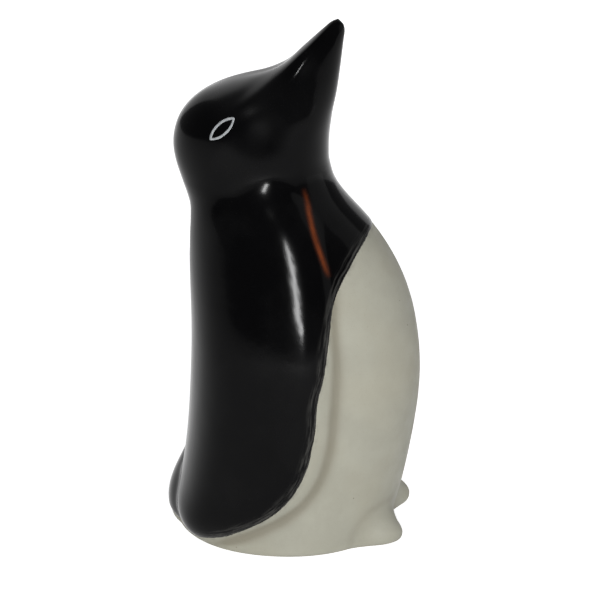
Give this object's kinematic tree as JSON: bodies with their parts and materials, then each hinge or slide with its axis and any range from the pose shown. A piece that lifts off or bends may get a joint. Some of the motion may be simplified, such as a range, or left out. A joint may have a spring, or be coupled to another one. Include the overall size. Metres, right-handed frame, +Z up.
{
  "type": "penguin figurine",
  "caption": "Standing ceramic penguin ornament with raised bill, folded cloak-like wings, black glazed head and back, pale belly and scribed almond eye lines.",
  "frame": {"origin": "centre of the standing face, under the middle of the bird", "axes": "+Z up, the bird faces -Y, its right side is at -X"},
  "size_m": [0.0658, 0.0742, 0.15],
  "materials": {
    "pale_clay": "satin off-white stoneware with fine specks",
    "black_glaze": "gloss black glaze, brushed on by hand",
    "eye_line": "pale grey inlaid line"
  },
  "bodies": {
    "root": {"body_shell": "pale_clay", "head_shell": "pale_clay", "right_wing": "pale_clay", "left_wing": "pale_clay", "tail": "pale_clay", "right_foot": "pale_clay", "left_foot": "pale_clay", "black_glaze": "black_glaze", "right_eye_line": "eye_line", "left_eye_line": "eye_line"}
  },
  "joints": []
}
